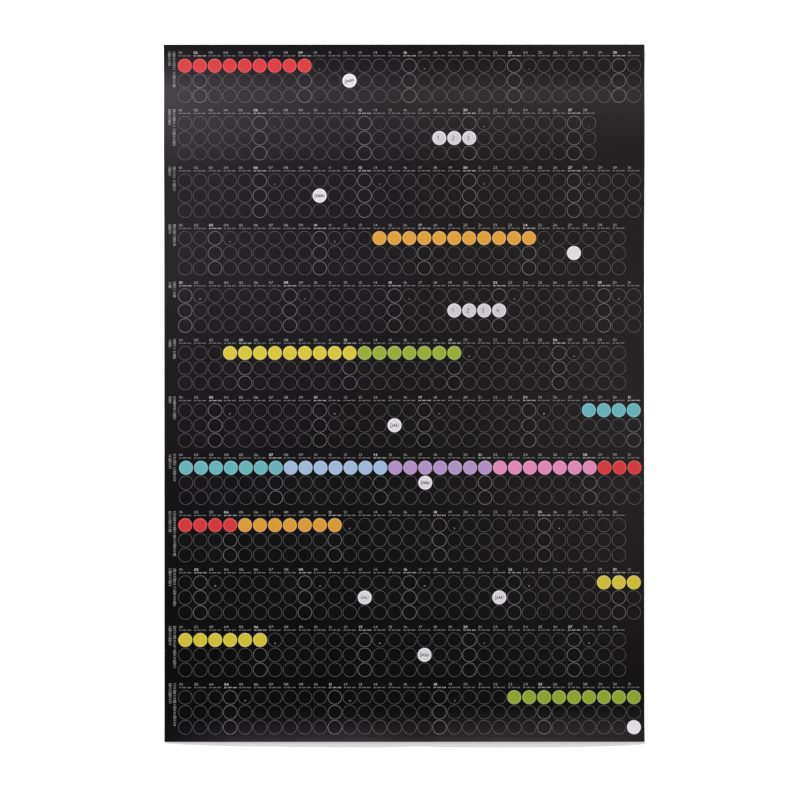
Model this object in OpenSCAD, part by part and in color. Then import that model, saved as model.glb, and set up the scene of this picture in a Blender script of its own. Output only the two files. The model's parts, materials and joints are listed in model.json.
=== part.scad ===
// Wall year planner: one film-laminated paper sheet with a black printed face,
// and the round paper stickers that mark days on it.
// The sheet lies face up. X runs along a month, +Y towards January, +Z out of the face.
// It came rolled in a tube, so it doesn't lie quite flat: its foot curls up, and towards the head
// the paper first rises in a low wave and then curls up.

/* [Sheet] */
// Width of the sheet
sheet_w = 620; // [500:1:800]
// Length of the sheet, measured along the paper
sheet_l = 900; // [740:1:1200]
// Thickness of the paper with its film
sheet_t = 0.3; // [0.2:0.05:0.6]

/* [Bends] */
// Length of paper that starts the wave, bending gently up
wave_start_l = 138; // [100:1:180]
// Radius of that bend
wave_start_r = 3400; // [2800:50:6000]
// Length of paper over the crest of the wave, bending down
wave_crest_l = 100; // [60:1:120]
// Radius over the crest
wave_crest_r = 1290; // [1200:10:4000]
// Length of paper that curls up at the head
head_curl_l = 62; // [30:1:90]
// Radius of the curl at the head
head_curl_r = 320; // [250:10:900]
// Length of paper that curls up at the foot
foot_curl_l = 43; // [20:1:80]
// Radius of the curl at the foot
foot_curl_r = 150; // [120:5:900]

/* [Calendar grid] */
// From the left edge to the centre of the first day of a month
left_margin = 27.1; // [20:0.1:40]
// From the centre of the 31st day to the right edge
right_margin = 13.6; // [11:0.1:30]
// From the head edge to the centre of January's first row
head_margin = 27.2; // [22:0.1:50]
// From the centre of December's last row to the foot edge
foot_margin = 18.8; // [11:0.1:50]
// How far August is printed to the right of the other months
august_shift = 1; // [0:0.1:2]

/* [Stickers] */
// Space between two stickers side by side
dot_gap = 1.3; // [0.5:0.1:3]
// Thickness of a sticker
dot_t = 0.1; // [0.05:0.01:0.3]

/* [Hidden] */
MONTHS = 12;
DAY_COLUMNS = 31;
ROWS = 3;                 // rows of circles in each month
AUGUST = 8;

// The circles stand on a square grid inside one month.
day_pitch = (sheet_w - left_margin - right_margin) / (DAY_COLUMNS - 1);
row_pitch = day_pitch;
month_pitch = (sheet_l - head_margin - foot_margin - (ROWS - 1) * row_pitch) / (MONTHS - 1);
dot_d = day_pitch - dot_gap;

// The paper is a chain of bends outward from its flat middle, each a length and a radius. They meet without
// a kink. A positive radius bends up, a negative one down.
HEAD_BENDS = [[wave_start_l, wave_start_r], [wave_crest_l, -wave_crest_r], [head_curl_l, head_curl_r]];
FOOT_BENDS = [[foot_curl_l, foot_curl_r]];

// Length of paper in the first n bends of a chain.
function paper_in(bends, n) = n == 0 ? 0 : paper_in(bends, n - 1) + bends[n - 1][0];

// Where a bend has come after l of its length, from a start given as [reach, height, slope in degrees].
function along_bend(start, l, r) =
    let(a = start[2] + l / r * 180 / PI)
    [start[0] + r * (sin(a) - sin(start[2])), start[1] - r * (cos(a) - cos(start[2])), a];

// Where the chain has come after n bends.
function after(bends, n) =
    n == 0 ? [0, 0, 0] : along_bend(after(bends, n - 1), bends[n - 1][0], bends[n - 1][1]);

// How far out the paper is, seen from above, after l of a chain's length. i is the bend it is in.
function reach(bends, l, i = 0) =
    i == len(bends) - 1 || l <= paper_in(bends, i + 1)
        ? along_bend(after(bends, i), l - paper_in(bends, i), bends[i][1])[0]
    : reach(bends, l, i + 1);

head_l = paper_in(HEAD_BENDS, len(HEAD_BENDS));
foot_l = paper_in(FOOT_BENDS, len(FOOT_BENDS));
head_reach = reach(HEAD_BENDS, head_l);
foot_reach = reach(FOOT_BENDS, foot_l);
flat_l = sheet_l - head_l - foot_l;
plan_l = head_reach + flat_l + foot_reach;
head_bend_y = plan_l / 2 - head_reach;         // where the flat middle ends towards the head
foot_bend_y = foot_reach - plan_l / 2;         // and towards the foot

FACET_L = 4;              // longest facet of a bend
DOT_FN = 64;

RED = "#d84a4c";
ORANGE = "#dda23c";
YELLOW = "#d3c540";
GREEN = "#97ab3a";
TEAL = "#68b3b9";
BLUE = "#a2bbdd";
PURPLE = "#b292c4";
PINK = "#df8bb7";
WHITE = "#e4e2e4";
BLACK = "#1b191d";

// Distance of a circle's centre from the head edge, along the paper.
function paper_from_head(month, row) =
    head_margin + (month - 1) * month_pitch + (row - 1) * row_pitch;

// The same point seen from above.
function plan_y(from_head) =
    from_head < head_l ? head_bend_y + reach(HEAD_BENDS, head_l - from_head)
    : from_head > sheet_l - foot_l ? foot_bend_y - reach(FOOT_BENDS, from_head - sheet_l + foot_l)
    : head_bend_y - (from_head - head_l);

function plan_x(month, day) =
    -sheet_w / 2 + left_margin + (day - 1) * day_pitch + (month == AUGUST ? august_shift : 0);

// The paper from the side, at a height over its back: points [y, z] outward from the start of a chain. Each
// bend is made of straight facets, so short that they leave its arc by about 0.01 mm at most.
function facets(bend) = ceil(bend[0] / FACET_L);

function raised(spot, height) = [spot[0] - height * sin(spot[2]), spot[1] + height * cos(spot[2])];

function chain_line(bends, height) =
    [for (i = [0:len(bends) - 1], k = [1:facets(bends[i])])
        raised(along_bend(after(bends, i), bends[i][0] * k / facets(bends[i]), bends[i][1]), height)];

function backward(points) = [for (i = [len(points) - 1:-1:0]) points[i]];

// The same line from the foot edge to the head edge.
function side_line(height) =
    concat([for (p = backward(chain_line(FOOT_BENDS, height))) [foot_bend_y - p[0], p[1]]],
           [[foot_bend_y, height], [head_bend_y, height]],
           [for (p = chain_line(HEAD_BENDS, height)) [head_bend_y + p[0], p[1]]]);

// A layer as large as the sheet and bent like it, between two heights over the back of the paper.
module layer(low, high) {
    rotate([90, 0, 90])
        translate([0, 0, -sheet_w / 2])
            linear_extrude(height = sheet_w)
                polygon(concat(side_line(low), backward(side_line(high))));
}

// Stickers on the printed face, from one day to another in one row of a month.
module dots(month, first_day, last_day, row) {
    intersection() {
        layer(sheet_t, sheet_t + dot_t);
        for (day = [first_day:last_day])
            translate([plan_x(month, day), plan_y(paper_from_head(month, row)), 0])
                cylinder(d = dot_d, h = sheet_w, $fn = DOT_FN);
    }
}

module planner_sheet() {
    color(BLACK) layer(0, sheet_t);
}

// Runs of coloured stickers in the first row of a month.
module january_red_dots() { color(RED) dots(1, 1, 9, 1); }
module april_orange_dots() { color(ORANGE) dots(4, 14, 24, 1); }
module june_yellow_dots() { color(YELLOW) dots(6, 4, 12, 1); }
module june_green_dots() { color(GREEN) dots(6, 13, 19, 1); }
module july_teal_dots() { color(TEAL) dots(7, 28, 31, 1); }
module august_teal_dots() { color(TEAL) dots(8, 1, 7, 1); }
module august_blue_dots() { color(BLUE) dots(8, 8, 14, 1); }
module august_purple_dots() { color(PURPLE) dots(8, 15, 21, 1); }
module august_pink_dots() { color(PINK) dots(8, 22, 28, 1); }
module august_red_dots() { color(RED) dots(8, 29, 31, 1); }
module september_red_dots() { color(RED) dots(9, 1, 4, 1); }
module september_orange_dots() { color(ORANGE) dots(9, 5, 11, 1); }
module october_yellow_dots() { color(YELLOW) dots(10, 29, 31, 1); }
module november_yellow_dots() { color(YELLOW) dots(11, 1, 6, 1); }
module december_green_dots() { color(GREEN) dots(12, 23, 31, 1); }

// Single white stickers to write on, in the second row of a month.
module january_12_white_dot() { color(WHITE) dots(1, 12, 12, 2); }
module february_18_white_dot() { color(WHITE) dots(2, 18, 18, 2); }
module february_19_white_dot() { color(WHITE) dots(2, 19, 19, 2); }
module february_20_white_dot() { color(WHITE) dots(2, 20, 20, 2); }
module march_10_white_dot() { color(WHITE) dots(3, 10, 10, 2); }
module april_27_white_dot() { color(WHITE) dots(4, 27, 27, 2); }
module may_19_white_dot() { color(WHITE) dots(5, 19, 19, 2); }
module may_20_white_dot() { color(WHITE) dots(5, 20, 20, 2); }
module may_21_white_dot() { color(WHITE) dots(5, 21, 21, 2); }
module may_22_white_dot() { color(WHITE) dots(5, 22, 22, 2); }
module july_15_white_dot() { color(WHITE) dots(7, 15, 15, 2); }
module august_17_white_dot() { color(WHITE) dots(8, 17, 17, 2); }
module october_13_white_dot() { color(WHITE) dots(10, 13, 13, 2); }
module october_22_white_dot() { color(WHITE) dots(10, 22, 22, 2); }
module november_17_white_dot() { color(WHITE) dots(11, 17, 17, 2); }

planner_sheet();
january_red_dots();
april_orange_dots();
june_yellow_dots();
june_green_dots();
july_teal_dots();
august_teal_dots();
august_blue_dots();
august_purple_dots();
august_pink_dots();
august_red_dots();
september_red_dots();
september_orange_dots();
october_yellow_dots();
november_yellow_dots();
december_green_dots();
january_12_white_dot();
february_18_white_dot();
february_19_white_dot();
february_20_white_dot();
march_10_white_dot();
april_27_white_dot();
may_19_white_dot();
may_20_white_dot();
may_21_white_dot();
may_22_white_dot();
july_15_white_dot();
august_17_white_dot();
october_13_white_dot();
october_22_white_dot();
november_17_white_dot();
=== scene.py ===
# %% [markdown]
# # A wall year planner
# A planner like this is one large sheet of art paper. It is printed black on one side, a clear satin
# film is rolled over the print, and the twelve months stand on it as rows of thin circles, one circle
# for each day. People mark days by sticking round paper dots into the circles.
#
# The sheet was rolled in a tube, so it doesn't lie quite flat: its head and its foot spring up, and a
# low buckle runs across it just before the head. The gloss of the film shows every one of these bends.
# So the lesson has two halves: bend a flat design onto the paper, and give black film a believable sheen.

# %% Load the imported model
import json
import math
from datetime import date

import bpy
import numpy as np
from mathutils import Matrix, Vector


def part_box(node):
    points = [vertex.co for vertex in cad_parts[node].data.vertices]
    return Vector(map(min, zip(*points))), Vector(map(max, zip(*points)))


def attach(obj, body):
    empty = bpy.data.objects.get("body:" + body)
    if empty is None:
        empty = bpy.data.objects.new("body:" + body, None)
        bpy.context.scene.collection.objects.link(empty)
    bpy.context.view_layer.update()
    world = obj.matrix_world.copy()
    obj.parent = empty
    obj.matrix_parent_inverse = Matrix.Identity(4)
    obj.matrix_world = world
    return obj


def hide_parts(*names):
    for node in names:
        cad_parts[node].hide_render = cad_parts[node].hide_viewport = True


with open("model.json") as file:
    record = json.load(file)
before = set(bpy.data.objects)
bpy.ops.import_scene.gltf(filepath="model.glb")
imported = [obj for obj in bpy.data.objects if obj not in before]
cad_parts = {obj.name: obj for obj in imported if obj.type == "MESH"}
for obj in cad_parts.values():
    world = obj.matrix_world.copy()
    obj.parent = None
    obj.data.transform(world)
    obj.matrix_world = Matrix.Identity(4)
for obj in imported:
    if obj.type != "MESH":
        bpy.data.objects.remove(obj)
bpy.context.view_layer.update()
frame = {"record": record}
MM = 0.001

# %% [markdown]
# ## Reading the sizes from the frame
# The grid of the calendar is square inside a month, so three measured things give all of it: how wide a
# sticker is, how far apart two stickers of one run stand, and how far apart two months stand. They are
# taken from the boxes of the stickers themselves, which keeps the print and the stickers in line.

# %% The calendar grid
def middle(node):
    low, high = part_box(node)
    return (low + high) / 2


sheet_low, sheet_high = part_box("planner_sheet")
SHEET_W = sheet_high.x - sheet_low.x
dot_low, dot_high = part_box("april_27_white_dot")
DOT_D = dot_high.x - dot_low.x
DOT_T = dot_high.z - dot_low.z
PAPER_T = dot_low.z

MONTHS = range(1, 13)
ROWS = range(1, 4)
PITCH = (middle("may_22_white_dot").x - middle("may_19_white_dot").x) / 3
MONTH_PITCH = (middle("may_19_white_dot").y - middle("november_17_white_dot").y) / 6
FIRST_DAY_X = middle("may_19_white_dot").x - 18 * PITCH
AUGUST_SHIFT = middle("august_17_white_dot").x - FIRST_DAY_X - 16 * PITCH
print(f"column {PITCH / MM:.2f} mm, month {MONTH_PITCH / MM:.2f} mm, sticker {DOT_D / MM:.2f} mm,",
      f"paper {PAPER_T / MM:.2f} mm, August shifted by {AUGUST_SHIFT / MM:.2f} mm")

# %% [markdown]
# ## The bends in the paper
# A strip of paper that was rolled is a chain of arcs that meet without a kink. Each bend here is a length
# and a radius in millimetres, counted outward from the flat middle: a positive radius curls up, a negative
# one down. Walking along the chain in small steps gives the place and the slope at every distance along the
# paper.

# %% The paper's section
SHEET_L = 0.9
HEAD_BENDS = [(138, 3400), (100, -1290), (62, 320)]
FOOT_BENDS = [(43, 150)]
STEP = 0.5 * MM


def walk(bends):
    """Distance along the paper, place, height and slope from the flat middle out to one end."""
    along, out, up, slope = [0.0], [0.0], [0.0], [0.0]
    for length, radius in bends:
        for _ in range(round(length * MM / STEP)):
            turned = slope[-1] + STEP / (radius * MM)
            out.append(out[-1] + STEP * math.cos((slope[-1] + turned) / 2))
            up.append(up[-1] + STEP * math.sin((slope[-1] + turned) / 2))
            along.append(along[-1] + STEP)
            slope.append(turned)
    return [np.array(values) for values in (along, out, up, slope)]


head, foot = walk(HEAD_BENDS), walk(FOOT_BENDS)
flat_l = SHEET_L - head[0][-1] - foot[0][-1]
plan_l = flat_l + head[1][-1] + foot[1][-1]
head_y = plan_l / 2 - head[1][-1]       # where the flat middle ends toward the head
print(f"flat {flat_l / MM:.0f} mm, seen from above {plan_l / MM:.2f} mm,",
      f"head lifts {head[2][-1] / MM:.2f} mm, foot {foot[2][-1] / MM:.2f} mm")

# %% [markdown]
# ## How much the foot lifts across the sheet
# The ends don't lift evenly. The foot lies almost down at its two corners and has a soft dent right of the
# middle. A share for each place across the sheet scales the lift of the foot's arc, and the head lifts the
# same all across. Paper doesn't stretch, so where the foot lifts less, it also reaches a little further out.

# %% From flat design to bent paper
# Each pair is a place across the sheet in millimetres and the share of the foot's lift there.
FOOT_SHARE = ((-310, 0.2), (-276, 0.5), (-211, 0.77), (-134, 0.88), (-44, 1.0), (-5, 0.88), (18, 0.75),
              (47, 0.95), (125, 1.0), (202, 0.96), (280, 0.68), (310, 0.36))
SOFTEN = 36                             # mm over which the shares are smoothed


def smooth_table(points):
    """A soft curve through rough points across the sheet, in metres."""
    x = np.arange(-SHEET_W / 2 / MM - SOFTEN, SHEET_W / 2 / MM + SOFTEN + 1)
    rough = np.interp(x, [p[0] for p in points], [p[1] for p in points])
    window = np.hanning(SOFTEN + 1)
    return x * MM, np.convolve(rough, window / window.sum(), mode="same")


share_x, foot_share = smooth_table(FOOT_SHARE)


def bend(x, along, height):
    """Carries flat points to the bent sheet. along is counted from the head edge, and height is measured
    out of the back of the paper."""
    beyond_head = np.clip(head[0][-1] - along, 0, None)
    beyond_foot = np.clip(along - SHEET_L + foot[0][-1], 0, None)
    share = np.interp(x, share_x, foot_share)
    short_head = beyond_head - np.interp(beyond_head, head[0], head[1])
    short_foot = beyond_foot - np.interp(beyond_foot, foot[0], foot[1])
    y = head_y + head[0][-1] - along - short_head + short_foot * share ** 2
    z = np.interp(beyond_head, head[0], head[2]) + share * np.interp(beyond_foot, foot[0], foot[2])
    slope = np.interp(beyond_head, head[0], head[3]) - share * np.interp(beyond_foot, foot[0], foot[3])
    return np.stack([x, y - height * np.sin(slope), z + height * np.cos(slope)], axis=-1)


def paper_distance(y):
    """How far along the paper from the head edge a place seen from above is."""
    along = np.linspace(0, SHEET_L, 1801)
    seen = bend(np.zeros(len(along)), along, np.full(len(along), PAPER_T))[:, 1]
    return float(np.interp(-y, -seen, along))


print("foot lift along the edge, mm:", [round(float(v), 1) for v in
      bend(np.linspace(-0.31, 0.31, 9), np.full(9, SHEET_L), np.zeros(9))[:, 2] / MM])

# %% [markdown]
# ## Helpers for colour and materials
# Colours are written as the sRGB hex values that a designer reads off a swatch, and turned to the linear
# light that the renderer works in. Materials are node trees, and `add_node` puts in one node at a time.

# %% Colour and node helpers
def linear(hex_colour):
    """An sRGB hex colour as linear red, green, blue and alpha."""
    parts = [int(hex_colour[i:i + 2], 16) / 255 for i in (1, 3, 5)]
    return tuple(((p + 0.055) / 1.055) ** 2.4 if p > 0.04045 else p / 12.92 for p in parts) + (1.0,)


def add_node(tree, kind, values={}, links={}, **settings):
    """Adds a node with its settings, the values of its own sockets, and links from other nodes' outputs."""
    made = tree.nodes.new(kind)
    for name, value in settings.items():
        setattr(made, name, value)
    for socket, value in values.items():
        made.inputs[socket].default_value = value
    for socket, source in links.items():
        tree.links.new(source, made.inputs[socket])
    return made


def empty_material(name):
    """A material with nothing in its tree yet."""
    material = bpy.data.materials.new(name)
    material.use_nodes = True
    material.node_tree.nodes.clear()
    return material, material.node_tree


print("sticker red in linear light:", [round(c, 3) for c in linear("#e4393c")])

# %% [markdown]
# ## Satin film over print
# The film is polypropylene, 30 microns thick, with a fine matt emboss. It gives the eye one soft gloss
# over everything printed, so the black and all the grey lines share it and only the ink's colour changes.
# The emboss is drawn a fifth of a millimetre across, coarser than the real one, so that it shows close up.
# The film also shows a faint unevenness of the glue and of handling, a few centimetres wide, as small
# changes in gloss.

# %% The film material
FILM_IOR = 1.5
FILM_ROUGHNESS = 0.31
FILM_UNEVEN = 0.03          # how far handling moves the roughness up or down
EMBOSS = 0.2 * MM
HANDLING = 45 * MM


def film_over(name, ink, ink_shade):
    """Satin film over one ink, which varies a little between two tones."""
    material, tree = empty_material(name)
    place = add_node(tree, "ShaderNodeTexCoord")
    cloudy = add_node(tree, "ShaderNodeTexNoise", {"Scale": 1 / HANDLING, "Detail": 2.0},
                      {"Vector": place.outputs["Object"]})
    tone = add_node(tree, "ShaderNodeMix", {"A": linear(ink), "B": linear(ink_shade)},
                    {"Factor": cloudy.outputs["Fac"]}, data_type="RGBA")
    gloss = add_node(tree, "ShaderNodeMapRange",
                     {"To Min": FILM_ROUGHNESS - FILM_UNEVEN, "To Max": FILM_ROUGHNESS + FILM_UNEVEN},
                     {"Value": cloudy.outputs["Fac"]})
    emboss = add_node(tree, "ShaderNodeTexNoise", {"Scale": 1 / EMBOSS, "Detail": 1.0},
                      {"Vector": place.outputs["Object"]})
    relief = add_node(tree, "ShaderNodeBump", {"Strength": 0.15, "Distance": 0.01 * MM},
                      {"Height": emboss.outputs["Fac"]})
    shader = add_node(tree, "ShaderNodeBsdfPrincipled", {"IOR": FILM_IOR},
                      {"Base Color": tone.outputs["Result"], "Roughness": gloss.outputs["Result"],
                       "Normal": relief.outputs["Normal"]})
    add_node(tree, "ShaderNodeOutputMaterial", {}, {"Surface": shader.outputs["BSDF"]})
    return material


film_black = film_over("satin_film_over_black", "#020202", "#030303")
film_line = film_over("satin_film_over_grey_line", "#6d6d6e", "#737374")
film_sunday_line = film_over("satin_film_over_sunday_line", "#959596", "#9b9b9c")
film_figure = film_over("satin_film_over_grey_figure", "#babbbc", "#c0c1c2")
film_sunday_figure = film_over("satin_film_over_white_figure", "#dfdfe0", "#e5e5e6")
film_type = film_over("satin_film_over_small_type", "#7f7f80", "#858586")
film_sunday_type = film_over("satin_film_over_sunday_type", "#a7a7a8", "#adadae")
film_name = film_over("satin_film_over_name", "#c0c0c1", "#c6c6c7")
print("film roughness", FILM_ROUGHNESS, "emboss", EMBOSS / MM, "mm")

# %% [markdown]
# ## Bare paper
# The back and the cut edges show the paper itself: white, with no shine, and with short fibres that make
# it very slightly cloudy. Fibres are about a millimetre long and far thinner than that. The noise is
# stretched to a quarter of a millimetre across them, so that they show.

# %% The paper material
FIBRE_L = 1.0 * MM
FIBRE_W = 0.25 * MM


def bare_paper(name, white, white_shade):
    """Uncoated white paper with fibres."""
    material, tree = empty_material(name)
    place = add_node(tree, "ShaderNodeTexCoord")
    stretched = add_node(tree, "ShaderNodeMapping", {"Scale": (1 / FIBRE_L, 1 / FIBRE_W, 1 / FIBRE_W)},
                         {"Vector": place.outputs["Object"]})
    fibres = add_node(tree, "ShaderNodeTexNoise", {"Scale": 1.0, "Detail": 3.0},
                      {"Vector": stretched.outputs["Vector"]})
    tone = add_node(tree, "ShaderNodeMix", {"A": linear(white), "B": linear(white_shade)},
                    {"Factor": fibres.outputs["Fac"]}, data_type="RGBA")
    relief = add_node(tree, "ShaderNodeBump", {"Strength": 0.3, "Distance": 0.02 * MM},
                      {"Height": fibres.outputs["Fac"]})
    shader = add_node(tree, "ShaderNodeBsdfPrincipled", {"Roughness": 0.85, "IOR": 1.45},
                      {"Base Color": tone.outputs["Result"], "Normal": relief.outputs["Normal"]})
    add_node(tree, "ShaderNodeOutputMaterial", {}, {"Surface": shader.outputs["BSDF"]})
    return material


paper_back = bare_paper("uncoated_white_paper", "#f2f0ec", "#e8e6e2")
label_core = bare_paper("white_label_core", "#f0eeee", "#e6e4e4")
print("bare paper:", paper_back.name, label_core.name)

# %% [markdown]
# ## Building meshes from stamps
# The print is the same few shapes over and over, so a shape is made once, as points and faces with a flag
# for each point that says whether it lies on the paper or on top of the ink. `stamp` copies it to a list of
# places with array arithmetic, which is far quicker than adding objects one by one. Each shape is closed,
# with a top, a bottom and walls, because ink and paper have a thickness, if only a few hundredths of a
# millimetre.

# %% Stamps
class Drawing:
    """Flat shapes gathered for one piece, each with its material, until they are bent onto the sheet."""

    def __init__(self, materials):
        self.materials = materials
        self.points, self.faces, self.slots, self.count = [], [], [], 0

    def stamp(self, shape, places, material, base, thick):
        """Copies shape to places, an array of (x, along) in metres. base and thick are heights in metres."""
        points, faces = shape
        places = np.asarray(places, float).reshape(-1, 2)
        x = (places[:, None, 0] + points[None, :, 0]).ravel()
        along = (places[:, None, 1] - points[None, :, 1]).ravel()
        height = np.tile(base + thick * points[:, 2], len(places))
        self.points.append(bend(x, along, height))
        starts = self.count + len(points) * np.arange(len(places))
        for face in faces:
            self.faces.extend((np.asarray(face)[None, :] + starts[:, None]).tolist())
            self.slots.extend([self.materials.index(material)] * len(places))
        self.count += len(points) * len(places)

    def piece(self, name):
        """Makes the Blender object and lets it ride on the part."""
        mesh = bpy.data.meshes.new(name)
        mesh.from_pydata(np.concatenate(self.points).tolist(), [], self.faces)
        for material in self.materials:
            mesh.materials.append(material)
        mesh.polygons.foreach_set("material_index", self.slots)
        mesh.update()
        made = bpy.data.objects.new(name, mesh)
        bpy.context.scene.collection.objects.link(made)
        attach(made, "root")
        return made


def slab(loop):
    """A closed flat shape from one outline that runs anticlockwise."""
    n = len(loop)
    points = np.array([(x, y, 0) for x, y in loop] + [(x, y, 1) for x, y in loop], float)
    walls = [(i, (i + 1) % n, (i + 1) % n + n, i + n) for i in range(n)]
    return points, [tuple(range(n))[::-1], tuple(range(n, 2 * n))] + walls


def bar(left, bottom, width, height):
    """A small upright rectangle."""
    right, top = left + width, bottom + height
    return slab([(left, bottom), (right, bottom), (right, top), (left, top)])


print("a bar has", len(bar(0, 0, 1, 1)[0]), "points and", len(bar(0, 0, 1, 1)[1]), "faces")

# %% [markdown]
# ## The sheet
# The sheet is a grid that is fine enough along its length for the bends to look smooth. Its top is the
# film, and its back and its four cut edges are bare paper, so the white core shows as a hairline around
# the black.

# %% Model the sheet
GRID_X = 64
GRID_Y = 240


def paper_sheet():
    """The sheet as a closed skin: film on top, paper below and on the cut edges."""
    xs = np.linspace(-SHEET_W / 2, SHEET_W / 2, GRID_X + 1)
    alongs = np.linspace(0, SHEET_L, GRID_Y + 1)
    x, along = [a.ravel() for a in np.meshgrid(xs, alongs)]
    top = bend(x, along, np.full(x.shape, PAPER_T))
    back = bend(x, along, np.zeros(x.shape))
    row, n = GRID_X + 1, len(x)
    cells = [(j * row + i, (j + 1) * row + i, (j + 1) * row + i + 1, j * row + i + 1)
             for j in range(GRID_Y) for i in range(GRID_X)]
    rim = ([i for i in range(GRID_X)] + [j * row + GRID_X for j in range(GRID_Y)]
           + [GRID_Y * row + i for i in range(GRID_X, 0, -1)] + [j * row for j in range(GRID_Y, 0, -1)])
    walls = [(a, b, b + n, a + n) for a, b in zip(rim, rim[1:] + rim[:1])]
    faces = cells + [tuple(i + n for i in reversed(c)) for c in cells] + walls
    mesh = bpy.data.meshes.new("laminated_sheet")
    mesh.from_pydata(np.concatenate([top, back]).tolist(), [], faces)
    mesh.materials.append(film_black)
    mesh.materials.append(paper_back)
    mesh.polygons.foreach_set("material_index", [0] * len(cells) + [1] * (len(cells) + len(walls)))
    mesh.polygons.foreach_set("use_smooth", [True] * (2 * len(cells)) + [False] * len(walls))
    mesh.update()
    return mesh


sheet = bpy.data.objects.new("laminated_sheet", paper_sheet())
sheet.data.set_sharp_from_angle(angle=math.radians(40))
bpy.context.scene.collection.objects.link(sheet)
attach(sheet, "root")
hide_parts("planner_sheet")
print("sheet:", len(sheet.data.polygons), "faces")

# %% [markdown]
# ## The days of the year
# The print follows the real calendar of a year that starts on a Saturday. Sundays are printed bolder than
# the other days, and each Monday's first circle carries the number of its week. August's circles are
# printed a little further right than those of the other months, but its numbers aren't.

# %% Where each day stands
YEAR = 2011
AUGUST = 8
HEAD_MARGIN = paper_distance(middle("july_15_white_dot").y) - 6 * MONTH_PITCH - PITCH


def days_in(month):
    """How many days the month has."""
    after = date(YEAR + month // 12, month % 12 + 1, 1)
    return (after - date(YEAR, month, 1)).days


def circle_place(month, day, row):
    """The centre of one circle: across the sheet, and along it from the head."""
    shift = AUGUST_SHIFT if month == AUGUST else 0
    return (FIRST_DAY_X + shift + (day - 1) * PITCH,
            HEAD_MARGIN + (month - 1) * MONTH_PITCH + (row - 1) * PITCH)


def is_sunday(month, day):
    return date(YEAR, month, day).weekday() == 6


def is_monday(month, day):
    return date(YEAR, month, day).weekday() == 0


print("days:", sum(days_in(m) for m in MONTHS), "head margin", round(HEAD_MARGIN / MM, 2), "mm")

# %% [markdown]
# ## The circles
# On the real print the circles are hairlines of a quarter and a half point, left white in the black. A line
# that thin would break up in a picture of the whole sheet, so here they are all drawn 0.42 mm wide, in greys
# that reflect as much light in all as the real lines would.

# %% A circle's line
CIRCLE_SIDES = 40
CIRCLE_R = 8.86 * MM
LINE_W = 0.42 * MM
INK_T = 0.04 * MM


def ring(radius, width, sides):
    """A closed flat ring."""
    angles = [2 * math.pi * i / sides for i in range(sides)]
    points = [(r * math.cos(a), r * math.sin(a), level)
              for level in (0, 1) for r in (radius - width / 2, radius + width / 2) for a in angles]
    inner, outer, inner_top, outer_top = [range(k * sides, (k + 1) * sides) for k in range(4)]
    faces = []
    for i in range(sides):
        j = (i + 1) % sides
        faces += [(inner_top[i], outer_top[i], outer_top[j], inner_top[j]),
                  (inner[i], inner[j], outer[j], outer[i]),
                  (outer[i], outer[j], outer_top[j], outer_top[i]),
                  (inner[j], inner[i], inner_top[i], inner_top[j])]
    return np.array(points), faces


circle_shape = ring(CIRCLE_R, LINE_W, CIRCLE_SIDES)
print("circles:", 3 * sum(days_in(m) for m in MONTHS), "with", len(circle_shape[1]), "faces each")

# %% [markdown]
# ## Figures
# The day numbers are plain figures. Blender's own letter shapes make good ones: a text object gives the
# outline and its offset makes the stroke lighter or bolder. Each figure becomes a small closed mesh once,
# and is then stamped like the circles.

# %% Figure shapes
FIGURE_H = 3.15 * MM
FIGURE_W = 2.45 * MM
FIGURE_ROOM = 1.6 * MM      # the least room across that a figure such as 1 takes
FIGURE_SPACE = 0.42 * MM
WEEK_H = 1.7 * MM
WEEK_W = 0.9 * MM
WEEK_SPACE = 0.2 * MM
LIGHT, BOLD = -0.018, 0.002     # how far the outline moves out, as a share of the type size


def glyph(character, offset):
    """One figure as Blender's own letter shape: points and faces of a closed mesh."""
    curve = bpy.data.curves.new("figure", "FONT")
    curve.body, curve.size, curve.resolution_u = character, 1.0, 2
    curve.extrude, curve.offset = 0.1, offset
    helper = bpy.data.objects.new("figure", curve)
    mesh = bpy.data.meshes.new_from_object(helper)
    points = np.array([v.co for v in mesh.vertices])
    faces = [tuple(p.vertices) for p in mesh.polygons]
    bpy.data.objects.remove(helper)
    bpy.data.curves.remove(curve)
    bpy.data.meshes.remove(mesh)
    return points, faces


def figure(character, height, width, offset):
    """A figure scaled so that a 0 has the given size, standing on 0 with its left side at 0."""
    zero = glyph("0", offset)[0]
    points, faces = glyph(character, offset)
    keys, inverse = np.unique(points.round(5), axis=0, return_inverse=True)
    size = zero.max(0) - zero.min(0)
    scaled = np.stack([(keys[:, 0] - keys[:, 0].min()) * width / size[0],
                       (keys[:, 1] - keys[:, 1].min()) * height / size[1],
                       (keys[:, 2] > 0).astype(float)], axis=-1)
    return scaled, [tuple(int(inverse.ravel()[i]) for i in f) for f in faces]


def set_figures(shapes, space, least_room):
    """Sets figures side by side, a narrow one in the middle of its room: each left, and the row's length."""
    widths = [shape[0][:, 0].max() for shape in shapes]
    rooms = [max(width, least_room) for width in widths]
    starts = [sum(rooms[:k]) + k * space for k in range(len(rooms))]
    lefts = [start + (room - width) / 2 for start, room, width in zip(starts, rooms, widths)]
    return lefts, starts[-1] + rooms[-1]


figures = {(c, w): figure(c, FIGURE_H, FIGURE_W, w) for c in "0123456789" for w in (LIGHT, BOLD)}
week_figures = {c: figure(c, WEEK_H, WEEK_W, LIGHT) for c in "0123456789"}
print("figure meshes:", len(figures) + len(week_figures),
      "a light 8 has", len(figures["8", LIGHT][1]), "faces")

# %% [markdown]
# ## Lines of type
# Under each number runs a very small line that names the weekday in three languages, and each month's name
# stands on end at the left edge. Type isn't copied here. In the small lines each letter is a plain block, as
# in a layout sketch. In the names each letter is one or two thin uprights or an empty box, which are no real
# letters. So the lines keep their length, weight and rhythm.

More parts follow.
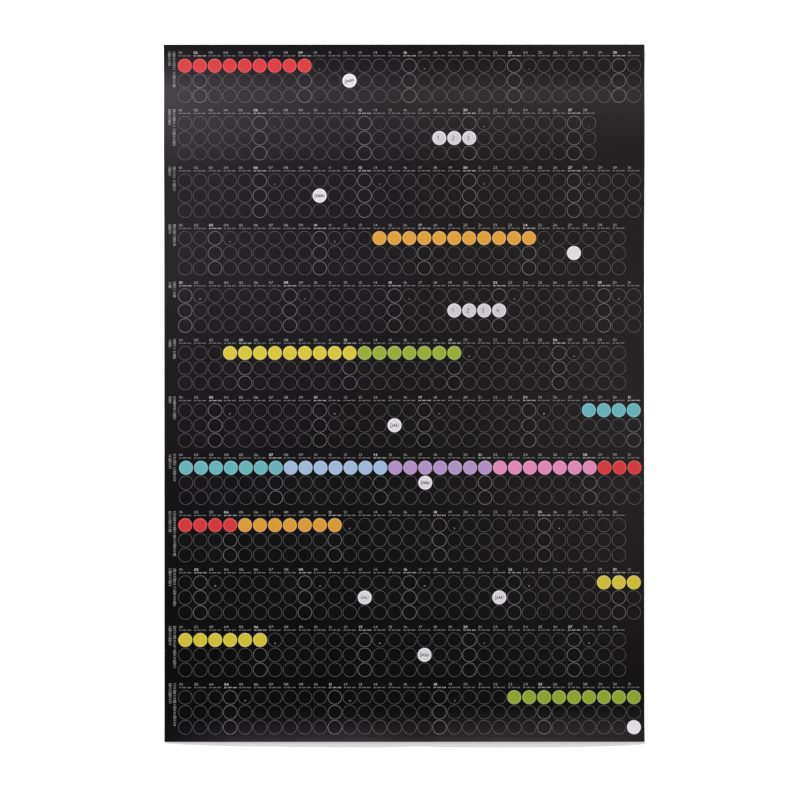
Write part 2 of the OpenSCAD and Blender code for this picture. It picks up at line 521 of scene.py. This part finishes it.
# %% Type as blocks, uprights and boxes
WEEKDAY_WORDS = (2, 3, 3)
# Letters in each month's name: first line, then the two names on the second line. The last number is the
# mean step from letter to letter in millimetres, because some names have narrower letters than others.
MONTH_WORDS = {1: (6, 7, 7, 3.0), 2: (7, 8, 7, 2.9), 3: (4, 5, 4, 3.1), 4: (5, 5, 5, 2.4),
               5: (3, 3, 3, 2.75), 6: (4, 4, 4, 2.7), 7: (4, 4, 7, 2.4), 8: (6, 6, 4, 3.15),
               9: (9, 9, 9, 3.0), 10: (7, 7, 7, 3.2), 11: (8, 8, 8, 3.2), 12: (8, 8, 8, 3.2)}
TYPE_STEP = 1.62 * MM
TYPE_H = 1.3 * MM
BLOCK_W, SUNDAY_BLOCK_W = 1.1 * MM, 1.35 * MM
SUNDAY_STRETCH = 1.06       # how much longer a Sunday's line is
WORD_GAP = 0.75             # extra room between two words, in steps
NAME_SPACE = 0.7 * MM       # between two letters of a name
NAME_H = 3.2 * MM
NAME_GAP = 4.6 * MM         # between the two names of a line, with a slanted stroke in it
STROKE = 0.36 * MM


def block_row(words, step, width, height):
    """Letter blocks of several words in one row, with a space between words, from 0 to the right."""
    shapes, at = [], 0.0
    for letters in words:
        for _ in range(letters):
            shapes.append(bar(at, 0, width, height))
            at += step
        at += step * WORD_GAP
    return shapes


def name_mark(kind, at, width):
    """The mark in a letter's place: two thin uprights, one in the middle, or an empty box."""
    pair = [bar(at + side, 0, STROKE, NAME_H) for side in (0, width - STROKE)]
    middle = [bar(at + (width - STROKE) / 2, 0, STROKE, NAME_H)]
    foot_and_head = [bar(at + STROKE, up, width - 2 * STROKE, STROKE) for up in (0, NAME_H - STROKE)]
    return (pair, pair + foot_and_head, pair, middle)[kind % 4]


def slanted_stroke(at):
    """The stroke between two names, a gap's width from the one before."""
    left, lean = at + NAME_GAP / 2 - STROKE, NAME_H / 3
    return slab([(left, 0), (left + STROKE, 0), (left + lean + STROKE, NAME_H), (left + lean, NAME_H)])


def name_row(words, seed, step):
    """The marks of several words in one row from 0 to the right, and the row's length."""
    shapes, at = [], 0.0
    for word, letters in enumerate(words):
        if word > 0:
            shapes.append(slanted_stroke(at))
            at += NAME_GAP
        for k in range(letters):
            shapes += name_mark(seed + 5 * word + 7 * k, at, step - NAME_SPACE)
            at += step
        at -= NAME_SPACE
    return shapes, at


def on_end(shape):
    """Turns a shape a quarter anticlockwise, so that a row of type reads upward."""
    points, faces = shape
    return np.stack([-points[:, 1], points[:, 0], points[:, 2]], axis=-1), faces


print("a weekday line has", len(block_row(WEEKDAY_WORDS, 1, 1, 1)), "blocks")

# %% [markdown]
# ## Printing the months
# Each month is one piece: its circles, its numbers, the line of type under them, its week numbers and its
# name. The circles of a Sunday and its number take the lighter inks.

# %% Print the days
NUMBER_UP = 15.27 * MM      # from a circle's centre to the foot of its number
NUMBER_LEFT = 7.7 * MM      # and back to where its number starts
TYPE_UP = 12.05 * MM
TYPE_LEFT = 7.7 * MM
WEEK_DOWN = 5.25 * MM
NAME_UP = 17.8 * MM
NAME_LEFT = (7.4 * MM, 13.3 * MM)
MONTH_NAMES = ("january", "february", "march", "april", "may", "june", "july", "august",
               "september", "october", "november", "december")


def print_number(drawing, x, along, day, sunday):
    """A day's number above its first circle, two figures long."""
    number = [figures[c, BOLD if sunday else LIGHT] for c in f"{day:02d}"]
    ink = film_sunday_figure if sunday else film_figure
    for shape, left in zip(number, set_figures(number, FIGURE_SPACE, FIGURE_ROOM)[0]):
        drawing.stamp(shape, [(x - NUMBER_LEFT + left, along - NUMBER_UP)], ink, PAPER_T, INK_T)


def print_weekday(drawing, x, along, sunday):
    """The line of blocks under a number, a little bolder and longer for a Sunday."""
    width = SUNDAY_BLOCK_W if sunday else BLOCK_W
    step = TYPE_STEP * (SUNDAY_STRETCH if sunday else 1.0)
    ink = film_sunday_type if sunday else film_type
    for shape in block_row(WEEKDAY_WORDS, step, width, TYPE_H):
        drawing.stamp(shape, [(x - TYPE_LEFT, along - TYPE_UP)], ink, PAPER_T, INK_T)


def print_week(drawing, x, along, month, day):
    """The number of the week, in the foot of a Monday's first circle."""
    week = [week_figures[c] for c in str(date(YEAR, month, day).isocalendar()[1])]
    lefts, length = set_figures(week, WEEK_SPACE, 0)
    for shape, left in zip(week, lefts):
        drawing.stamp(shape, [(x - length / 2 + left, along + WEEK_DOWN)], film_sunday_figure, PAPER_T, INK_T)


def print_name(drawing, month):
    """The month's name in two lines that read upward at the left edge."""
    first, second, third, step = MONTH_WORDS[month]
    top = circle_place(month, 1, 1)[1] - NAME_UP
    for words, across in (((first,), NAME_LEFT[0]), ((second, third), NAME_LEFT[1])):
        row, length = name_row(words, month, step * MM)
        for shape in row:
            drawing.stamp(on_end(shape), [(-SHEET_W / 2 + across + NAME_H / 2, top + length)],
                          film_name, PAPER_T, INK_T)


print("a number starts", NUMBER_LEFT / MM, "mm left of its circle's centre")

# %% Print the twelve months
def print_month(month):
    """Everything that is printed for one month."""
    drawing = Drawing([film_line, film_sunday_line, film_figure, film_sunday_figure, film_type,
                       film_sunday_type, film_name])
    for sunday in (False, True):
        days = [d for d in range(1, days_in(month) + 1) if is_sunday(month, d) == sunday]
        places = [circle_place(month, d, r) for r in ROWS for d in days]
        drawing.stamp(circle_shape, places, film_sunday_line if sunday else film_line, PAPER_T, INK_T)
        for d in days:
            x, along = circle_place(month, d, 1)
            if month == AUGUST:
                x -= AUGUST_SHIFT
            print_number(drawing, x, along, d, sunday)
            print_weekday(drawing, x, along, sunday)
            if is_monday(month, d):
                print_week(drawing, x, along, month, d)
    print_name(drawing, month)
    return drawing.piece(f"{MONTH_NAMES[month - 1]}_print")


printed = [print_month(m) for m in MONTHS]
print("printed pieces:", len(printed), "faces:", sum(len(p.data.polygons) for p in printed))

# %% [markdown]
# ## Stickers
# A round office sticker is die-cut from coated label paper a tenth of a millimetre thick. The die rounds the
# very edge over. A ring about a millimetre inside the edge is painted paler, a painted highlight where the
# edge catches the light. The cut itself shows the white core. The disc is built in rings from its centre
# outward, so that it can follow the bend of the sheet under it.

# %% Sticker paper
STICKER_ROUGHNESS = 0.38
MOTTLE = 14 * MM            # the coating is a little cloudy over this size
TOOTH = 0.3 * MM            # and this is the grain of the paper under it


def paler(hex_colour, share):
    """A colour in linear light, mixed with a share of white."""
    return tuple(c + (1 - c) * share for c in linear(hex_colour))


def sticker_paper(name, colour, shade, white=0.0):
    """Coated label paper, dyed by print, with the fine tooth of paper under the coating."""
    material, tree = empty_material(name)
    place = add_node(tree, "ShaderNodeTexCoord")
    mottle = add_node(tree, "ShaderNodeTexNoise", {"Scale": 1 / MOTTLE, "Detail": 3.0},
                      {"Vector": place.outputs["Object"]})
    tone = add_node(tree, "ShaderNodeMix", {"A": paler(colour, white), "B": paler(shade, white)},
                    {"Factor": mottle.outputs["Fac"]}, data_type="RGBA")
    tooth = add_node(tree, "ShaderNodeTexNoise", {"Scale": 1 / TOOTH, "Detail": 2.0},
                     {"Vector": place.outputs["Object"]})
    relief = add_node(tree, "ShaderNodeBump", {"Strength": 0.2, "Distance": 0.02 * MM},
                      {"Height": tooth.outputs["Fac"]})
    shader = add_node(tree, "ShaderNodeBsdfPrincipled", {"Roughness": STICKER_ROUGHNESS, "IOR": 1.47},
                      {"Base Color": tone.outputs["Result"], "Normal": relief.outputs["Normal"]})
    add_node(tree, "ShaderNodeOutputMaterial", {}, {"Surface": shader.outputs["BSDF"]})
    return material


sticker_colours = {
    "red_sticker_paper": ("#e4393c", "#dd3639"), "orange_sticker_paper": ("#eaaa30", "#e4a52d"),
    "yellow_sticker_paper": ("#e3d536", "#dccf33"), "green_sticker_paper": ("#9fba32", "#9ab42f"),
    "teal_sticker_paper": ("#6bc1c5", "#68bcc0"), "blue_sticker_paper": ("#abc9e9", "#a7c4e4"),
    "purple_sticker_paper": ("#be9cd1", "#b998cc"), "pink_sticker_paper": ("#f294c5", "#ec90c0"),
    "white_sticker_paper": ("#ebecec", "#e5e6e6"), "duller_white_sticker_paper": ("#d9d8d9", "#d3d2d3")}
# How much white the rim's painted highlight gains: one share for most papers, and others for these three.
RIM_WHITE = 0.13
OTHER_RIM_WHITE = {"red_sticker_paper": 0.06, "white_sticker_paper": 0.6, "duller_white_sticker_paper": 0.4}
sticker_papers = {name: sticker_paper(name, *tones) for name, tones in sticker_colours.items()}
# A paler copy of each paper for the rim ring, which is a painted highlight.
rim_highlight_papers = {name: sticker_paper(f"rim_highlight_{name}", *tones, OTHER_RIM_WHITE.get(name, RIM_WHITE))
                for name, tones in sticker_colours.items()}
print("sticker papers:", len(sticker_papers))

# %% The sticker's shape
DOT_SIDES = 64
# Rings of the disc: share of the radius, share of the thickness.
DOT_RINGS = ((0.4, 1.0), (0.84, 1.0), (0.97, 1.0), (0.996, 0.85), (1.0, 0.0))
# The ring of faces that carries the rim's painted highlight, and the one that shows the cut core.
HIGHLIGHT_RING, CUT_RING = 1, 3       # the ring of faces outside the second circle of points, and the fourth


def disc(radius):
    """A closed disc with a rounded edge. Faces come in three lists: printed top, painted highlight rim, bare
    core.
    """
    angles = [2 * math.pi * i / DOT_SIDES for i in range(DOT_SIDES)]
    points = [(0, 0, 1)] + [(radius * s * math.cos(a), radius * s * math.sin(a), h)
                            for s, h in DOT_RINGS for a in angles] + [(0, 0, 0)]
    ring_start = [1 + k * DOT_SIDES for k in range(len(DOT_RINGS))]
    last = len(points) - 1
    top, rim, core = [], [], []
    lists = [top] * (len(DOT_RINGS) - 1)
    lists[HIGHLIGHT_RING], lists[CUT_RING] = rim, core
    for i in range(DOT_SIDES):
        j = (i + 1) % DOT_SIDES
        top.append((0, ring_start[0] + i, ring_start[0] + j))
        for faces, a, b in zip(lists, ring_start, ring_start[1:]):
            faces.append((a + i, b + i, b + j, a + j))
        core.append((last, ring_start[-1] + j, ring_start[-1] + i))
    return np.array(points, float), top, rim, core


dot_points, dot_top, dot_rim, dot_core = disc(DOT_D / 2)
print("one sticker:", len(dot_points), "points")

# %% [markdown]
# ## Pen marks
# White stickers are made to write on. A fine felt pen leaves a dark grey line a little over half a
# millimetre wide. The marks here are nobody's words: a looped scrawl where a short note would be, and plain
# figures where single signs would stand one to a sticker.

# %% Pen strokes
PEN_W = 0.58 * MM
PEN_T = 0.02 * MM
PEN_FIGURES = {
    "1": [[(-0.9, 1.3), (0.2, 2.6), (0.1, -2.6)]],
    "2": [[(-1.3, 1.5), (-0.5, 2.6), (0.9, 2.3), (1.0, 1.0), (-0.2, -1.0), (-1.5, -2.5), (0.2, -2.4),
           (1.5, -2.3)]],
    "3": [[(-1.2, 2.1), (0.2, 2.6), (1.1, 1.6), (-0.2, 0.3), (1.3, -0.9), (0.5, -2.4), (-1.3, -2.0)]],
    "4": [[(-0.3, 2.6), (-1.4, -0.5), (1.5, -0.4)], [(0.8, 1.0), (0.6, -2.7)]]}


def smooth_line(corners, steps=6):
    """A soft line through given corners, in metres."""
    p = np.array(corners, float) * MM
    p = np.vstack([2 * p[0] - p[1], p, 2 * p[-1] - p[-2]])
    line = []
    for a, b, c, d in zip(p, p[1:], p[2:], p[3:]):
        for t in np.arange(steps) / steps:
            line.append(0.5 * (2 * b + (c - a) * t + (2 * a - 5 * b + 4 * c - d) * t ** 2
                               + (3 * b - a - 3 * c + d) * t ** 3))
    return np.array(line + [p[-2]])


def pen_line(line):
    """A closed flat stroke of the pen's width along a line."""
    run = np.gradient(line, axis=0)
    across = np.stack([-run[:, 1], run[:, 0]], axis=-1)
    side = across / np.linalg.norm(across, axis=1, keepdims=True) * PEN_W / 2
    left, right = line + side, line - side
    n = len(line)
    flat = np.concatenate([left, right])
    points = np.concatenate([np.column_stack([flat, np.full(2 * n, level)]) for level in (0.0, 1.0)])
    faces = []
    for i in range(n - 1):
        l, r, up = i, n + i, 2 * n
        faces += [(up + l, up + r, up + r + 1, up + l + 1), (l, l + 1, r + 1, r),
                  (r, r + 1, up + r + 1, up + r), (l + 1, l, up + l, up + l + 1)]
    return points, faces + [(0, n, 3 * n, 2 * n), (2 * n - 1, n - 1, 3 * n - 1, 4 * n - 1)]


def scrawl(loops, length, height, tilt):
    """A looped handwritten scrawl that says nothing: a tall first stroke, then small loops."""
    t = np.linspace(0, 1, 16 * loops)
    turn = 2 * math.pi * loops * t
    tall = 1 + 1.1 * np.exp(-((t - 0.06) / 0.07) ** 2)
    x = length * (t - 0.5) - 0.42 * length / loops * np.sin(turn)
    y = height / 2 * tall * np.cos(turn) * (0.75 + 0.25 * np.cos(2.3 * turn))
    return np.stack([x + 0.25 * y, y + tilt * x], axis=-1) * MM


pen_strokes = {
    "january_12_white_dot": [scrawl(5, 10.8, 3.8, 0.2)], "march_10_white_dot": [scrawl(6, 11.5, 4.0, -0.02)],
    "july_15_white_dot": [scrawl(4, 9.5, 4.2, 0.05)], "august_17_white_dot": [scrawl(5, 10.0, 4.0, -0.08)],
    "october_13_white_dot": [scrawl(3, 8.2, 3.8, -0.06)], "october_22_white_dot": [scrawl(4, 9.8, 3.8, 0.06)],
    "november_17_white_dot": [scrawl(5, 10.8, 3.6, -0.08)]}
for month, first_day, last_day, left in (("february", 18, 20, 1.5), ("may", 19, 22, 1.8)):
    for number, day in enumerate(range(first_day, last_day + 1), 1):
        strokes = [smooth_line(corners) for corners in PEN_FIGURES[str(number)]]
        pen_strokes[f"{month}_{day}_white_dot"] = [stroke - np.array([left * MM, 0]) for stroke in strokes]
print("stickers with pen marks:", len(pen_strokes))

# %% [markdown]
# Felt-pen ink soaks into the paper, so it has almost no gloss and its dark varies with the pressure of the
# hand.

# %% The pen's ink
PRESSURE = 1.5 * MM         # over this length the hand presses harder or softer


def felt_pen_ink():
    """Dark grey dye soaked into paper."""
    material, tree = empty_material("felt_pen_ink")
    place = add_node(tree, "ShaderNodeTexCoord")
    pressure = add_node(tree, "ShaderNodeTexNoise", {"Scale": 1 / PRESSURE, "Detail": 1.0},
                        {"Vector": place.outputs["Object"]})
    tone = add_node(tree, "ShaderNodeMix", {"A": linear("#2c2a30"), "B": linear("#4c4a50")},
                    {"Factor": pressure.outputs["Fac"]}, data_type="RGBA")
    shader = add_node(tree, "ShaderNodeBsdfPrincipled", {"Roughness": 0.7},
                      {"Base Color": tone.outputs["Result"]})
    add_node(tree, "ShaderNodeOutputMaterial", {}, {"Surface": shader.outputs["BSDF"]})
    return material


pen_ink = felt_pen_ink()
print("pen ink:", pen_ink.name)

# %% [markdown]
# ## Sticking the dots
# Every CAD node of stickers gets its piece here. How many dots a node has, and where they stand, is read
# from its box, and its finish from the record.

# %% Place the stickers
def dot_places(node):
    """The centres of a node's dots on the flat design."""
    low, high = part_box(node)
    count = round((high.x - low.x - DOT_D) / PITCH) + 1
    along = paper_distance((low.y + high.y) / 2)
    return [(low.x + DOT_D / 2 + k * PITCH, along) for k in range(count)]


def stick(node, record_slot):
    """The stickers of one CAD node."""
    row_of_signs = record_slot == "white_sticker_paper" and node.startswith(("february", "may"))
    name = "duller_white_sticker_paper" if row_of_signs else record_slot
    # rim is the paler copy of the paper: a painted highlight along the edge of each dot.
    paper, rim = sticker_papers[name], rim_highlight_papers[name]
    drawing = Drawing([paper, rim, label_core, pen_ink])
    places = dot_places(node)
    for faces, material in ((dot_top, paper), (dot_rim, rim), (dot_core, label_core)):
        drawing.stamp((dot_points, faces), places, material, PAPER_T, DOT_T)
    for line in pen_strokes.get(node, []):
        drawing.stamp(pen_line(line), places, pen_ink, PAPER_T + DOT_T, PEN_T)
    made = drawing.piece(f"stuck_{node}")
    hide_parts(node)
    return made


slots = {s["node"]: s["material_slot"] for s in frame["record"]["subparts"]}
stickers = [stick(n, s) for n, s in slots.items() if n != "planner_sheet"]
print("sticker pieces:", len(stickers))

# %% [markdown]
# ## The printed disc
# The last circle of December is printed solid white and bare. It lies under the film like the rest of the
# print.

# %% Print the white disc
DISC_T = 0.06 * MM          # thicker than the circle around it, so that it covers its line
film_disc = film_over("satin_film_over_white_disc", "#f8f7f8", "#f3f2f3")
disc_drawing = Drawing([film_disc])
disc_angles = [2 * math.pi * i / DOT_SIDES for i in range(DOT_SIDES)]
disc_outline = [(DOT_D / 2 * math.cos(a), DOT_D / 2 * math.sin(a)) for a in disc_angles]
disc_drawing.stamp(slab(disc_outline), [circle_place(12, 31, 3)], film_disc, PAPER_T, DISC_T)
disc_drawing.piece("printed_white_disc")
print("white disc at", [round(c / MM, 1) for c in circle_place(12, 31, 3)], "mm")

# %% [markdown]
# ## Floor and light
# The sheet lies on a pale studio floor. Black film is a dim mirror, so what it shows is the room above it:
# the ceiling has to be dark, or the black turns grey. The light comes from two soft boxes, one beyond the
# head and a weak one at the left, both low enough to miss the mirror direction. Three weak boxes stand
# higher, and their blurred mirror images are the sheen on the left, the head and the right of the film.

# %% Floor
FLOOR_WHITE = 0.97
FLOOR_GLOW = 0.43           # seen by the eye and in mirrors only, so it lights nothing
FLOOR_HALF = 6.0
FLOOR_DOWN = 0.1 * MM       # how far it lies under the sheet


def studio_floor():
    """White floor that keeps the shadow of the sheet."""
    material, tree = empty_material("white_floor")
    matt = add_node(tree, "ShaderNodeBsdfDiffuse", {"Color": (FLOOR_WHITE, FLOOR_WHITE, FLOOR_WHITE, 1.0)})
    glow = add_node(tree, "ShaderNodeEmission", {"Color": (1.0, 1.0, 1.0, 1.0), "Strength": FLOOR_GLOW})
    both = add_node(tree, "ShaderNodeAddShader", {}, {0: matt.outputs[0], 1: glow.outputs[0]})
    path = add_node(tree, "ShaderNodeLightPath")
    seen = path.outputs["Is Camera Ray"]
    for ray in ("Is Glossy Ray", "Is Transmission Ray"):
        either = add_node(tree, "ShaderNodeMath", {}, {0: seen, 1: path.outputs[ray]}, operation="MAXIMUM")
        seen = either.outputs[0]
    shown = add_node(tree, "ShaderNodeMixShader", {}, {0: seen, 1: matt.outputs[0], 2: both.outputs[0]})
    add_node(tree, "ShaderNodeOutputMaterial", {}, {"Surface": shown.outputs[0]})
    return material


floor_mesh = bpy.data.meshes.new("floor")
floor_corners = [(x * FLOOR_HALF, y * FLOOR_HALF, -FLOOR_DOWN)
                 for x, y in ((-1, -1), (1, -1), (1, 1), (-1, 1))]
floor_mesh.from_pydata(floor_corners, [], [(0, 1, 2, 3)])
floor_mesh.materials.append(studio_floor())
floor = bpy.data.objects.new("floor", floor_mesh)
bpy.context.scene.collection.objects.link(floor)
print("floor:", 2 * FLOOR_HALF, "m square")

# %% Room
WALL_GLOW, CEILING_GLOW = 1.5, 0.007
WALL_TOP, CEILING_FROM = 0.02, 0.45     # heights on a unit sphere, between which the room darkens


def studio_world():
    """A room with pale walls and a dark ceiling."""
    world = bpy.data.worlds.new("studio")
    world.use_nodes = True
    tree = world.node_tree
    tree.nodes.clear()
    direction = add_node(tree, "ShaderNodeTexCoord")
    parts = add_node(tree, "ShaderNodeSeparateXYZ", {}, {"Vector": direction.outputs["Generated"]})
    ceiling = add_node(tree, "ShaderNodeMapRange",
                       {"From Min": WALL_TOP, "From Max": CEILING_FROM,
                        "To Min": WALL_GLOW, "To Max": CEILING_GLOW},
                       {"Value": parts.outputs["Z"]})
    room = add_node(tree, "ShaderNodeBackground", {"Color": (1.0, 1.0, 1.0, 1.0)},
                    {"Strength": ceiling.outputs["Result"]})
    add_node(tree, "ShaderNodeOutputWorld", {}, {"Surface": room.outputs[0]})
    return world


bpy.context.scene.world = studio_world()
print("world:", bpy.context.scene.world.name)

# %% Soft boxes
def soft_box(name, azimuth, tilt, distance, size, power, colour):
    """A soft box aimed at the sheet. azimuth turns from +X, and tilt is counted down from straight above."""
    light = bpy.data.lights.new(name, "AREA")
    light.shape, light.size, light.size_y = "RECTANGLE", size[0], size[1]
    light.energy, light.color = power, linear(colour)[:3]
    made = bpy.data.objects.new(name, light)
    a, b = math.radians(azimuth), math.radians(tilt)
    out = distance * math.sin(b)
    made.location = (out * math.cos(a), out * math.sin(a), distance * math.cos(b))
    made.rotation_euler = (b, 0, a + math.pi / 2)
    made.visible_camera = False
    bpy.context.scene.collection.objects.link(made)
    return made


lights = [
    soft_box("left_sheen", 136, 27, 3.2, (0.77, 0.77), 12.8, "#f6e3ff"),
    soft_box("head_sheen", 70, 26, 4.0, (1.1, 1.1), 8.0, "#fff3f0"),
    soft_box("right_sheen", -6, 16, 2.8, (0.72, 0.72), 1.8, "#fff3f0"),
    soft_box("main_box", 104, 51, 7.0, (0.8, 0.8), 445, "#ffffff"),
    soft_box("left_box", 175, 58, 3.6, (1.2, 1.2), 10, "#ffffff"),
]
print("soft boxes:", [light.name for light in lights])

# %% [markdown]
# ## Camera
# The camera looks straight down on the sheet from three metres, with a lens long enough to keep its edges
# parallel. The sheet sits a little right of and above the middle of the picture.

# %% Camera
CAMERA_H = 3.0
FIELD_W = 1033.4 * MM       # width of the floor that the picture takes in
SENSOR_MM = 36
camera_data = bpy.data.cameras.new("camera")
camera_data.sensor_width = SENSOR_MM
camera_data.lens = SENSOR_MM * CAMERA_H / FIELD_W
camera = bpy.data.objects.new("camera", camera_data)
camera.location = (-5.5 * MM, -8.75 * MM, CAMERA_H)
camera.rotation_euler = (0, 0, math.radians(-0.025))    # the sheet isn't quite square to the camera
bpy.context.scene.collection.objects.link(camera)
bpy.context.scene.camera = camera
bpy.context.scene.view_settings.view_transform = "Standard"
print(f"lens {camera_data.lens:.1f} mm at {CAMERA_H} m")
